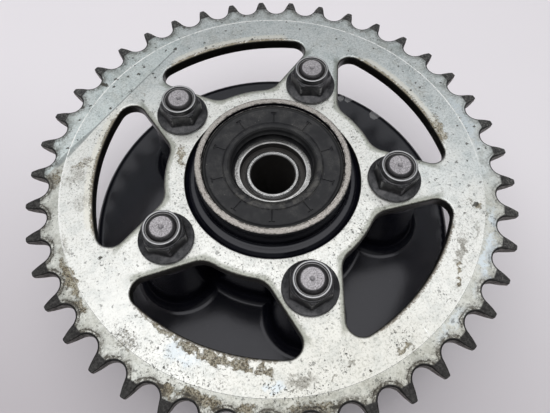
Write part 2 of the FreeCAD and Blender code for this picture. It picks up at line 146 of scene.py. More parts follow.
def make_object(name, vertices, faces, sharp_angle=40.0):
    """Mesh object from millimetre vertices, smooth apart from edges sharper than sharp_angle."""
    mesh = bpy.data.meshes.new(name)
    mesh.from_pydata([(x * MM, y * MM, z * MM) for x, y, z in vertices], [], faces)
    mesh.validate()
    mesh.shade_smooth()
    mesh.set_sharp_from_angle(angle=math.radians(sharp_angle))
    return add_object(name, mesh)


def polar(radius, degrees):
    angle = math.radians(degrees)
    return Vector((radius * math.cos(angle), radius * math.sin(angle)))


def angle_of(vector):
    return math.degrees(math.atan2(vector.y, vector.x))


def arc_points(centre, radius, start, end, count):
    """Points of the shorter arc from start to end degrees, without the last one."""
    sweep = (end - start + 180.0) % 360.0 - 180.0
    return [centre + polar(radius, start + sweep * index / count) for index in range(count)]


def circle_points(radius, count, centre=Vector((0.0, 0.0)), clockwise=False):
    turn = -360.0 if clockwise else 360.0
    return [centre + polar(radius, turn * index / count) for index in range(count)]


def turned_points(points, degrees):
    turn = Matrix.Rotation(math.radians(degrees), 2)
    return [turn @ point for point in points]


def with_mirror(right, bottom):
    """The right half of an outline, the point on its middle line, and the left half."""
    return right + [bottom] + [Vector((-point.x, point.y)) for point in reversed(right[1:])]


def smooth_step(low, high, value):
    share = min(1.0, max(0.0, (value - low) / (high - low)))
    return share * share * (3.0 - 2.0 * share)


def tooth_gap():
    """One tooth gap centred on +Y, from the middle of the tooth on its right to that on its left."""
    origin = Vector((0.0, 0.0))
    seat_centre = Vector((0.0, PITCH_RADIUS))
    outward = polar(1.0, SEAT_HALF_ANGLE - 90.0)
    seat_end = seat_centre + outward * SEAT_RADIUS
    flank_centre = seat_end + outward * FLANK_RADIUS
    # the rounded tip corner touches both the flank's circle and the tip circle from inside
    distance = flank_centre.length
    to_tip = TIP_RADIUS - TIP_CORNER
    to_flank = FLANK_RADIUS - TIP_CORNER
    along = (distance ** 2 + to_tip ** 2 - to_flank ** 2) / (2.0 * distance)
    aside = math.sqrt(to_tip ** 2 - along ** 2)
    direction = flank_centre.normalized()
    corner = direction * along + Vector((-direction.y, direction.x)) * aside
    flank_touch = flank_centre + (corner - flank_centre).normalized() * FLANK_RADIUS
    tip_angle = angle_of(corner)
    half_step = 180.0 / TOOTH_COUNT
    right = arc_points(origin, TIP_RADIUS, 90.0 - half_step, tip_angle, 3)
    right += arc_points(corner, TIP_CORNER, tip_angle, angle_of(flank_touch - corner), 6)
    right += arc_points(flank_centre, FLANK_RADIUS, angle_of(flank_touch - flank_centre),
                        angle_of(seat_end - flank_centre), 14)
    right += arc_points(seat_centre, SEAT_RADIUS, SEAT_HALF_ANGLE - 90.0, -90.0, 12)
    return with_mirror(right, seat_centre - Vector((0.0, SEAT_RADIUS)))


def toothed_outline():
    gap = tooth_gap()
    outline = []
    for index in range(TOOTH_COUNT):
        outline += turned_points(gap, index * 360.0 / TOOTH_COUNT)
    return outline


def window_outline():
    """Clockwise outline of the window centred on +Y."""
    along_side = polar(1.0, WINDOW_SIDE_SLOPE)
    into_window = Vector((-along_side.y, along_side.x))
    from_centre = WINDOW_CORNER - WINDOW_OUTER_CENTRE
    outer_radius = from_centre.length + WINDOW_CORNER_RADIUS
    side_top = WINDOW_CORNER - into_window * WINDOW_CORNER_RADIUS
    root_distance = WINDOW_INNER_RADIUS + WINDOW_ROOT_RADIUS
    height = side_top.dot(into_window) + WINDOW_ROOT_RADIUS
    root_centre = into_window * height + along_side * math.sqrt(root_distance ** 2 - height ** 2)
    side_bottom = root_centre - into_window * WINDOW_ROOT_RADIUS
    corner_angle = angle_of(from_centre)
    side_angle = angle_of(-into_window)
    root_angle = angle_of(-root_centre)
    right = arc_points(WINDOW_OUTER_CENTRE, outer_radius, 90.0, corner_angle, 22)
    right += arc_points(WINDOW_CORNER, WINDOW_CORNER_RADIUS, corner_angle, side_angle, 18)
    right += [side_top.lerp(side_bottom, index / 12) for index in range(12)]
    right += arc_points(root_centre, WINDOW_ROOT_RADIUS, side_angle, root_angle, 10)
    right += arc_points(Vector((0.0, 0.0)), WINDOW_INNER_RADIUS, angle_of(root_centre), 90.0, 12)
    return with_mirror(right, Vector((0.0, WINDOW_INNER_RADIUS)))


def left_normals(points):
    """Unit normals to the left of the direction of travel, at each point of a closed loop."""
    normals = []
    for index, point in enumerate(points):
        travel = points[(index + 1) % len(points)] - points[index - 1]
        normals.append(Vector((-travel.y, travel.x)).normalized())
    return normals


def half_thickness(radius):
    """Half the sprocket's thickness at a radius: plate, thinner rim, then teeth bevelled to the tip."""
    if radius < RIM_STEP_RADIUS:
        return PLATE_HALF_THICKNESS
    slope = (RIM_HALF_THICKNESS - TIP_HALF_THICKNESS) / (TIP_RADIUS - BEVEL_START)
    past = radius - BEVEL_START
    if past < BEVEL_BLEND:
        past = max(0.0, past + BEVEL_BLEND) ** 2 / (4.0 * BEVEL_BLEND)
    return RIM_HALF_THICKNESS - slope * past


def tooth_rounding(point):
    """The tooth gaps are worn rounder at the roller seat than at the tips."""
    return SEAT_ROUNDING + (TIP_ROUNDING - SEAT_ROUNDING) * smooth_step(103.5, 108.5, point.length)


def in_polygon(point, polygon):
    inside = False
    for first, second in zip(polygon, polygon[1:] + polygon[:1]):
        if (first.y > point.y) != (second.y > point.y):
            share = (point.y - first.y) / (second.y - first.y)
            if point.x < first.x + share * (second.x - first.x):
                inside = not inside
    return inside


def flat_inset(rounding):
    """How far from an outline the flat face starts: past the rolled edge and a strip that keeps it crisp."""
    return rounding + 0.22 * min(1.0, rounding / 0.35)


def in_cutout(point, mouth):
    """Whether a triangle's middle lies in the mouth of the bore, of a stud hole or of a window."""
    slack = 0.006
    if point.length < BORE_RADIUS + flat_inset(BORE_ROUNDING) - slack:
        return True
    hole = STUD_HOLE_RADIUS + flat_inset(HOLE_ROUNDING) - slack
    if any((point - polar(STUD_CIRCLE, angle)).length < hole for angle in STUD_ANGLES):
        return True
    middle = 90.0 + 72.0 * round((angle_of(point) - 90.0) / 72.0)
    return in_polygon(turned_points([point], 90.0 - middle)[0], mouth)


def loop_edges(base, count):
    return [(base + index, base + (index + 1) % count) for index in range(count)]


def make_sprocket():
    """The whole sprocket as one closed mesh, with every edge rounded."""
    loops = [(toothed_outline(), tooth_rounding)]
    window = window_outline()
    for angle in STUD_ANGLES:
        loops.append((turned_points(window, angle - 54.0), lambda point: WINDOW_ROUNDING))
        hole = circle_points(STUD_HOLE_RADIUS, 48, polar(STUD_CIRCLE, angle), clockwise=True)
        loops.append((hole, lambda point: HOLE_ROUNDING))
    loops.append((circle_points(BORE_RADIUS, 240, clockwise=True), lambda point: BORE_ROUNDING))

    vertices = []
    faces = []
    flat_points = []
    flat_edges = []
    flat_ids = {1: [], -1: []}
    for points, rounding in loops:
        normals = left_normals(points)
        count = len(points)
        rings = []
        for side in (-1, 1):
            side_rings = []
            for level in range(ROUNDING_STEPS + 2):
                on_face = level > ROUNDING_STEPS
                turn = math.pi / 2.0 * min(level, ROUNDING_STEPS) / ROUNDING_STEPS
                ring = []
                for point, normal in zip(points, normals):
                    edge = rounding(point)
                    inset = flat_inset(edge) if on_face else edge * (1.0 - math.cos(turn))
                    place = point + normal * inset
                    height = half_thickness(place.length) - edge * (1.0 - math.sin(turn))
                    ring.append(len(vertices))
                    vertices.append((place.x, place.y, PLATE_MIDDLE + side * height))
                    if on_face:
                        flat_ids[side].append(ring[-1])
                    if on_face and side == 1:
                        flat_points.append(place)
                side_rings.append(ring)
            rings += side_rings if side == 1 else list(reversed(side_rings))
        flat_edges += loop_edges(len(flat_points) - count, count)
        for lower, upper in zip(rings, rings[1:]):
            for index in range(count):
                following = (index + 1) % count
                faces.append((lower[index], lower[following], upper[following], upper[index]))

    # circles of extra points carry the step, the rim and the teeth's bevel
    border = len(flat_points)
    for radius in STEP_CIRCLES:
        flat_edges += loop_edges(len(flat_points), STEP_CIRCLE_POINTS)
        flat_points += circle_points(radius, STEP_CIRCLE_POINTS)
    for radius in TOOTH_CIRCLES:
        spread = max(0.0, 3.4 - 0.52 * (radius - TOOTH_CIRCLES[0]))
        for index in range(TOOTH_COUNT):
            place = polar(radius, 90.0 + index * 360.0 / TOOTH_COUNT + 180.0 / TOOTH_COUNT)
            side_way = Vector((-place.y, place.x)).normalized()
            flat_points += [place + side_way * share * spread * 0.62 for share in (-1.0, -0.5, 0.0, 0.5, 1.0)]
    result = delaunay_2d_cdt(flat_points, flat_edges, [], 2, 1e-5)
    places, triangles, origins = result[0], result[2], result[3]
    inset = flat_inset(WINDOW_ROUNDING)
    mouth = [point + normal * inset for point, normal in zip(window, left_normals(window))]
    kept = [triangle for triangle in triangles
            if not in_cutout(sum((places[index] for index in triangle), Vector((0.0, 0.0))) / 3.0, mouth)]
    for side in (1, -1):
        ids = []
        for place, origin in zip(places, origins):
            rim = [index for index in origin if index < border]
            if rim:
                ids.append(flat_ids[side][rim[0]])
                continue
            ids.append(len(vertices))
            vertices.append((place.x, place.y, PLATE_MIDDLE + side * half_thickness(place.length)))
        for triangle in kept:
            corners = [ids[index] for index in triangle]
            faces.append(corners if side == 1 else list(reversed(corners)))
    return make_object("sprocket_plate", vertices, faces, 32.0)


def add_sweep(vertices, faces, sections, closed=True):
    """Adds a surface through sections set around an axis, one list of (x, y, z) for each direction.

    A closed section makes a ring. An open one is capped by a flat face at both of its ends."""
    base = len(vertices)
    length = len(sections[0])
    for section in sections:
        vertices += section
    for index in range(len(sections)):
        here = base + index * length
        following = base + (index + 1) % len(sections) * length
        for step in range(length if closed else length - 1):
            after = (step + 1) % length
            faces.append((here + step, following + step, following + after, here + after))
    if not closed:
        faces.append([base + index * length for index in reversed(range(len(sections)))])
        faces.append([base + index * length + length - 1 for index in range(len(sections))])


def make_at_studs(name, outline, turns, count, closed, sharp_angle):
    """A swept piece on each stud; outline gives (radius, height) pairs at an angle from the piece's turn."""
    vertices = []
    faces = []
    for stud_angle, turn in zip(STUD_ANGLES, turns):
        centre = polar(STUD_CIRCLE, stud_angle)
        sections = []
        for angle in (step * 360.0 / count for step in range(count)):
            way = polar(1.0, angle)
            sections.append([(centre.x + way.x * radius, centre.y + way.y * radius, height)
                             for radius, height in outline(angle - turn)])
        add_sweep(vertices, faces, sections, closed)
    return make_object(name, vertices, faces, sharp_angle)


def soft_min(first, second, softness):
    share = max(softness - abs(first - second), 0.0) / softness
    return min(first, second) - share * share * softness / 4.0


def nut_outline(angle):
    """Flange, hexagon and rolled collar of a nut, with a corner of the hexagon at angle 0."""
    flat_way = 30.0 - abs((angle + 30.0) % 60.0 - 30.0)
    hexagon = soft_min(NUT_HALF_WIDTH / math.cos(math.radians(flat_way)), NUT_CORNER_RADIUS, 0.35)
    section = list(FLANGE_OUTLINE)
    for gap, lift in ((0.55, 0.0), (0.3, 0.05), (0.12, 0.18), (0.0, 0.5)):
        section.append((hexagon + gap, 1.52 + (11.5 - hexagon - gap) * FLANGE_SLOPE + lift))
    section += [(hexagon, 5.5), (hexagon, 7.7)]
    for limit in (9.9, 9.6, 9.3, 9.0, 8.75, 8.55):
        section.append((soft_min(limit, hexagon, 0.25), 8.1 + (9.9 - limit) * 0.9))
    return [(radius, PLATE_TOP + height) for radius, height in section + COLLAR_OUTLINE]


def stud_outline(angle):
    """Rolled thread, chamfer, slightly hollow end and centre mark of a stud."""
    low = STUD_TOP - THREAD_LENGTH
    section = [(STUD_RADIUS - 1.0, STUD_BOTTOM), (STUD_RADIUS, STUD_BOTTOM + 1.0), (STUD_RADIUS, low - 0.4)]
    for level in range(int((THREAD_LENGTH - 1.3) / THREAD_PITCH * THREAD_LEVELS)):
        height = low + level * THREAD_PITCH / THREAD_LEVELS
        phase = (level / THREAD_LEVELS - angle / 360.0) % 1.0
        fade = smooth_step(0.0, 1.2, height - low) * smooth_step(0.0, 0.9, STUD_TOP - 0.9 - height)
        section.append((STUD_RADIUS - THREAD_DEPTH * abs(2.0 * phase - 1.0) * fade, height))
    return section + [(radius, STUD_TOP + height) for radius, height in STUD_END]


def seal_mark_depth(radius, aside):
    """Depth of a radial groove with a cross tick; aside is the angle from its middle in degrees."""
    groove = 1.0 - smooth_step(0.12, 0.28, math.radians(aside) * radius)
    groove *= 1.0 - smooth_step(27.5, 27.8, radius)
    tick = 1.0 - smooth_step(0.1, 0.24, abs(radius - 27.55))
    tick *= 1.0 - smooth_step(2.45, 2.75, aside)
    return SEAL_MARK_DEPTH * max(groove, tick)


def make_hub_seal():
    """Lip seal with a raised inner band and ten moulded radial grooves with cross ticks."""
    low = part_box("hub_seal_rubber")[0].z / MM
    face = low + SEAL_FACE_HEIGHT
    profile = [(radius, low + height) for radius, height in SEAL_RIM]
    profile += [(radius, face + height) for radius, height in SEAL_FACE]
    profile += [(radius, low + height) for radius, height in SEAL_LIPS]
    angles = {index * 1.5 for index in range(240)}
    for mark in SEAL_MARK_ANGLES:
        for offset in (0.0, 0.2, 0.36, 0.5, 0.62, 2.5, 2.7, 2.9):
            angles.update(((mark + offset) % 360.0, (mark - offset) % 360.0))
    sections = []
    for angle in sorted(angles):
        way = polar(1.0, angle)
        aside = min(abs((angle - mark + 180.0) % 360.0 - 180.0) for mark in SEAL_MARK_ANGLES)
        section = []
        for radius, height in profile:
            marked = 22.3 < radius < 28.9 and height > low + 4.0
            depth = seal_mark_depth(radius, aside) if marked else 0.0
            section.append((way.x * radius, way.y * radius, height - depth))
        sections.append(section)
    vertices = []
    faces = []
    add_sweep(vertices, faces, sections)
    return make_object("hub_seal_lip", vertices, faces, 50.0)


# ---- materials ----

class Graph:
    """Builds one material's nodes. Sizes inside are millimetres of the object's own coordinates."""

    def __init__(self, name):
        self.colour = None
        self.material = bpy.data.materials.new(name)
        self.material.use_nodes = True
        self.nodes = self.material.node_tree.nodes
        self.links = self.material.node_tree.links
        self.nodes.clear()
        output = self.nodes.new("ShaderNodeOutputMaterial")
        self.shader = self.nodes.new("ShaderNodeBsdfPrincipled")
        self.links.new(self.shader.outputs[0], output.inputs[0])
        coordinates = self.nodes.new("ShaderNodeTexCoord")
        self.place = self.vector("MULTIPLY", coordinates.outputs["Object"], (1000.0, 1000.0, 1000.0))
        self.x, self.y, self.z = self.split(self.place)
        self.radius = self.vector("LENGTH", self.vector("MULTIPLY", self.place, (1.0, 1.0, 0.0)))
        self.angle = self.math("ARCTAN2", self.y, self.x)
        self.facing = self.math("ABSOLUTE", self.split(coordinates.outputs["Normal"])[2])

    def add(self, kind, inputs=(), **settings):
        node = self.nodes.new(kind)
        for key, value in settings.items():
            setattr(node, key, value)
        for socket, value in zip(node.inputs, inputs):
            self.join(socket, value)
        return node

    def join(self, socket, value):
        if value is None:
            return
        if isinstance(value, bpy.types.NodeSocket):
            self.links.new(value, socket)
        elif isinstance(value, (tuple, list)) and len(value) == 3 and socket.type == "RGBA":
            socket.default_value = (*value, 1.0)
        else:
            socket.default_value = value

    def math(self, operation, first, second=None, third=None, clamp=False):
        node = self.add("ShaderNodeMath", [first, second, third], operation=operation, use_clamp=clamp)
        return node.outputs[0]

    def times(self, *factors):
        return reduce(lambda first, second: self.math("MULTIPLY", first, second), factors)

    def most(self, *values):
        return reduce(lambda first, second: self.math("MAXIMUM", first, second), values)

    def minus(self, first, second, clamp=False):
        return self.math("SUBTRACT", first, second, clamp=clamp)

    def scaled(self, value, factor, offset, clamp=False):
        """The value times a factor plus an offset."""
        return self.math("MULTIPLY_ADD", value, factor, offset, clamp)

    def hypotenuse(self, first, second):
        return self.math("SQRT", self.scaled(first, first, self.times(second, second)))

    def vector(self, operation, first, second=None):
        node = self.add("ShaderNodeVectorMath", [first, second], operation=operation)
        return node.outputs["Value"] if operation in ("LENGTH", "DOT_PRODUCT") else node.outputs[0]

    def split(self, vector):
        return self.add("ShaderNodeSeparateXYZ", [vector]).outputs

    def step(self, value, low, high):
        """0 below low and 1 above high, smoothly between. It falls instead where low is over high."""
        start, end = (0.0, 1.0) if low < high else (1.0, 0.0)
        inputs = [value, min(low, high), max(low, high), start, end]
        return self.add("ShaderNodeMapRange", inputs, interpolation_type="SMOOTHSTEP").outputs[0]

    def band(self, value, middle, reach, core):
        """1 within core of the middle value and 0 beyond reach from it."""
        away = self.math("ABSOLUTE", self.minus(value, middle) if middle else value)
        return self.step(away, reach, core)

    def texture(self, scale, detail=3.0, rough=0.55, place=None):
        return self.add("ShaderNodeTexNoise", [place or self.place, None, scale, detail, rough])

    def noise(self, *settings):
        """Soft noise about 0.5: scale in cycles per millimetre, then detail, roughness and place."""
        return self.texture(*settings).outputs["Fac"]

    def cloud(self, low, high, *settings):
        """Patches of noise, 0 where it is below low and 1 above high, or the other way round."""
        return self.step(self.noise(*settings), low, high)

    def shifted(self, scale, reach):
        """The place moved about by noise, so that what is drawn at it gets ragged outlines."""
        noise = self.texture(scale, 3.0, 0.5).outputs["Color"]
        centred = self.vector("SUBTRACT", noise, (0.5, 0.5, 0.5))
        return self.vector("ADD", self.place, self.vector("MULTIPLY", centred, (reach, reach, reach)))

    def specks(self, scale, size, share, place=None, flat=False):
        """Scattered specks up to size across; share is the part of the cells that has one."""
        inputs = [place or self.place, None, scale]
        node = self.add("ShaderNodeTexVoronoi", inputs, voronoi_dimensions="2D" if flat else "3D")
        distance = self.math("DIVIDE", node.outputs["Distance"], scale)
        chance, spread = self.split(node.outputs["Color"])[:2]
        reach = self.scaled(spread, size * 0.4, size * 0.12)
        mark = self.step(self.minus(reach, distance), -0.05, 0.05)
        return self.times(mark, self.math("LESS_THAN", chance, share))

    def framed(self, x, y, length, width, turn, place=None):
        """The place in a frame at (x, y) that is turned by degrees and has its own units of length."""
        turned = (0.0, 0.0, math.radians(turn))
        inputs = [place or self.place, (x, y, 0.0), turned, (length, width, 1.0)]
        return self.add("ShaderNodeMapping", inputs, vector_type="TEXTURE").outputs[0]

    def blob(self, x, y, length, width, turn, place=None):
        """A soft oval patch on the plate, 1 in its middle and 0 outside."""
        flat = self.vector("MULTIPLY", self.framed(x, y, length, width, turn, place), (1.0, 1.0, 0.0))
        return self.step(self.vector("LENGTH", flat), 1.0, 0.25)

    def blobs(self, patches, place=None):
        """Soft oval patches: (x, y, length, width, turn, strength)."""
        return self.most(*[self.times(self.blob(*patch[:5], place), patch[5]) for patch in patches])

    def arcs(self, patches, place, centre=(0.0, 0.0, 0.0)):
        """Soft patches curved about a centre: (radius, direction, width, length, strength)."""
        offset = self.vector("SUBTRACT", place, centre)
        radius = self.vector("LENGTH", self.vector("MULTIPLY", offset, (1.0, 1.0, 0.0)))
        x, y = self.split(offset)[:2]
        angle = self.math("ARCTAN2", y, x)
        parts = []
        for middle, turn, width, length, strength in patches:
            across = self.math("DIVIDE", self.minus(radius, middle), width)
            away = self.math("WRAP", self.minus(angle, math.radians(turn)), math.pi, -math.pi)
            around = self.times(away, middle / length)
            squares = self.scaled(around, around, self.times(across, across))
            parts.append(self.times(self.step(squares, 1.0, 0.15), strength))
        return self.most(*parts)

    def mix(self, factor, first, second, blend="MIX"):
        inputs = [factor, *[None] * 5, first, second]
        return self.add("ShaderNodeMix", inputs, data_type="RGBA", blend_type=blend).outputs[2]

    def cover(self, tone, *masks):
        """Lays a tone over the colour so far, as much as the product of the masks says."""
        self.colour = self.mix(self.times(*masks), self.colour, tone)

    def dim(self, tone, *masks):
        """Multiplies the colour so far by a tone, as much as the product of the masks says."""
        self.colour = self.mix(self.times(*masks), self.colour, tone, "MULTIPLY")

    def blend(self, factor, first, second):
        """first where factor is 0 and second where it is 1, for plain numbers."""
        return self.add("ShaderNodeMix", [factor, None, first, second]).outputs[0]

    def bump(self, height, distance, strength=1.0, normal=None):
        node = self.nodes.new("ShaderNodeBump")
        node.inputs["Strength"].default_value = strength
        node.inputs["Distance"].default_value = distance * MM
        self.join(node.inputs["Height"], height)
        self.join(node.inputs["Normal"], normal)
        return node.outputs[0]

    def finish(self, roughness, metallic, normal=None, **constants):
        self.join(self.shader.inputs["Base Color"], self.colour)
        self.join(self.shader.inputs["Roughness"], roughness)
        self.join(self.shader.inputs["Metallic"], metallic)
        self.join(self.shader.inputs["Normal"], normal)
        for key, value in constants.items():
            self.join(self.shader.inputs[key.replace("_", " ")], value)
        return self.material


# stains about the axle axis: (radius, direction, width, length, strength) in millimetres and degrees
OLIVE_RIM = [
    (100.6, 229.5, 2.9, 8, 1), (99.3, 238, 3.4, 12, 1), (99.9, 247.5, 2.4, 5, 0.8),
    (97.3, 194, 3, 14, 0.85), (98.3, 202, 2.4, 5, 0.8), (102.2, 176, 2.2, 5, 0.95),
    (100.5, 262, 3.4, 16, 0.62), (101.3, 277, 2.6, 12, 0.5), (98, 164.5, 3.4, 8, 0.5),
]
BLUISH = [
    (98.8, 323, 3.6, 26, 0.9), (86.5, 229.5, 5, 10, 0.7), (91.4, 254.4, 3.4, 5, 0.8),
    (98.5, 300, 3, 12, 0.5), (98, 2, 3.4, 22, 0.55),
]
# stains along the outer edge of the window on the left of the near side, about that edge's centre
NEAR_EDGE_CENTRE = (7.94, 10.92, 0)
OLIVE_WINDOW = [
    (95.8, 224, 1.3, 9, 0.62), (96.9, 231.5, 2.5, 8, 0.95), (97.4, 238, 3.3, 9.5, 1),
    (97.4, 244, 3, 6, 0.95), (98.7, 249.2, 2.6, 5, 0.8),
]
# other patches on the sprocket and the drum: (x, y, length, width, turn, strength)
OLIVE_STAINS = [
    (28.7, -88.3, 6, 2.8, 12, 0.8), (62.2, -64.6, 4, 2.4, 45, 0.85),
    (59.6, -69.4, 3.4, 2.2, 60, 0.8), (83.5, 3, 12, 4.4, 82, 0.72),
    (-75.5, -55, 10, 6, -50, 0.42), (-82.5, 30, 9, 3, 25, 0.55),
    (83.7, -39.7, 3.4, 2.2, 30, 0.9), (-37.8, 22, 10, 2.6, 80, 0.75),
]
GREY_STAINS = [
    (66.8, -57, 11, 3.2, 57, 1), (77, -50.5, 8, 2, 60, 0.6),
    (-14.5, -88.6, 9, 3.8, -10, 0.85), (-96, 25, 8, 5, 60, 0.8),
    (-86, 24, 10, 6, 20, 0.6), (-85, 10, 9, 7, 60, 0.5),
    (82, 30, 12, 2.8, 110, 0.5), (-95, -8, 8, 3.4, 90, 0.6),
    (80.6, -36.6, 1.5, 1.2, 20, 0.9), (-65.5, -50.8, 8.5, 1, -50, 0.9),
    (6.5, -88.5, 2, 1.4, 0, 0.8), (-2.4, -91, 1.5, 1.2, 0, 0.9),
    (-47.9, 61, 1.6, 2.4, 60, 0.8), (45, 82, 9, 4, 30, 0.3),
    (70, 66, 12, 4, 130, 0.3),
]
DARK_MARKS = [
    (-66, 73, 3.6, 1.7, -35, 1), (-59.8, 74.8, 2.4, 1.3, -30, 0.9),
    (-78.3, 62.5, 2, 2.4, 30, 1), (-65.2, 57.8, 1.6, 1.3, 40, 1),
    (-48.3, 74.8, 1.7, 1, -10, 0.9), (-80.5, 55, 1.4, 0.9, 0, 0.9),
    (-27.4, 86, 1.7, 1.2, 40, 1), (-87.2, -51.6, 1.9, 1.1, -40, 1),
    (82.2, -39, 2.8, 1.9, 30, 1), (75.8, -41.4, 1.1, 0.9, 0, 1),
    (-80.6, -17.8, 1.4, 1.2, 0, 1), (-4, -101, 6, 1.2, -4, 0.9),
    (12, -92.5, 1.2, 0.9, 0, 0.9), (89.5, -29.5, 1, 0.8, 0, 0.8),
    (-67, -75.4, 2.6, 1.4, -40, 1), (-56.8, -81.5, 2.4, 1.1, -35, 0.9),
    (-100.8, 9.5, 1.2, 3, 10, 0.9),
]
CROWDED = [
    (-60, -72, 26, 13, -42, 1), (-18, -92, 26, 8, -8, 1),
    (44, 10, 7, 17, 10, 1), (-76, -52, 13, 9, -50, 0.9),
    (28, -36, 16, 8, 30, 1), (-82, 22, 16, 12, 60, 0.9),
    (72, -47, 18, 9, 60, 0.8), (-80, -20, 6, 20, 10, 0.7),
    (86, 20, 16, 6, 100, 0.7),
]
SPOTLESS = [(-74, -38, 30, 15, -60, 1), (-40, -34, 26, 14, -30, 1)]
CHIPS = [
    (76.6, 47, 6, 4.4, 35, 1), (65.6, 62.1, 4.6, 3.4, 40, 1),
    (61, 63.6, 3.4, 2.6, 50, 1), (-88, -24, 1.6, 1, 100, 0.9),
    (20, -90, 1.5, 0.9, 10, 0.9), (-30, 86.5, 1.3, 0.9, 20, 0.9),
]
# the dull patch at the front, the bright nick beside the step, and the long scratch's frame
DULL_FRONT = (4, -94, 78, 46, 4)
BRIGHT_NICK = (38.7, -84.6, 3.4, 0.34, 104)
SCRATCH_FRAME = (-60.8, 59, 1, 1, 38.9)


def near_window_edge(g):
    """Three distances at the nearest window, as sockets.

    They are beyond its outer edge, aside from its middle line, and past its other edges to the hub."""
    away = g.math("WRAP", g.minus(g.angle, math.pi / 2), math.pi / 5, -math.pi / 5)
    side = g.times(g.radius, g.math("SINE", away))
    ahead = g.times(g.radius, g.math("COSINE", away))
    edge_radius = (WINDOW_CORNER - WINDOW_OUTER_CENTRE).length + WINDOW_CORNER_RADIUS
    reach = g.hypotenuse(side, g.minus(ahead, WINDOW_OUTER_CENTRE.y))
    aside = g.math("ABSOLUTE", side)
    slope = math.radians(WINDOW_SIDE_SLOPE)
    side_height = WINDOW_CORNER.y * math.cos(slope) - WINDOW_CORNER.x * math.sin(slope) - WINDOW_CORNER_RADIUS
    past_side = g.minus(g.scaled(aside, math.sin(slope), side_height), g.times(ahead, math.cos(slope)))
    hubward = g.math("SMOOTH_MAX", past_side, g.minus(WINDOW_INNER_RADIUS, g.radius), 3)
    return g.minus(reach, edge_radius), aside, hubward


def around_nearest(g, count, circle, first_angle):
    """Distance from the nearest of the axes that stand evenly on a circle, as a socket."""
    sector = TAU / count
    turned = g.math("FLOORED_MODULO", g.minus(g.angle, first_angle - sector / 2), sector)
    local = g.minus(turned, sector / 2)
    across = g.times(g.radius, g.math("SINE", local))
    along = g.minus(g.times(g.radius, g.math("COSINE", local)), circle)
    return g.hypotenuse(across, along)


def around_nearest_stud(g):
    return around_nearest(g, len(STUD_ANGLES), STUD_CIRCLE, math.radians(STUD_ANGLES[0]))


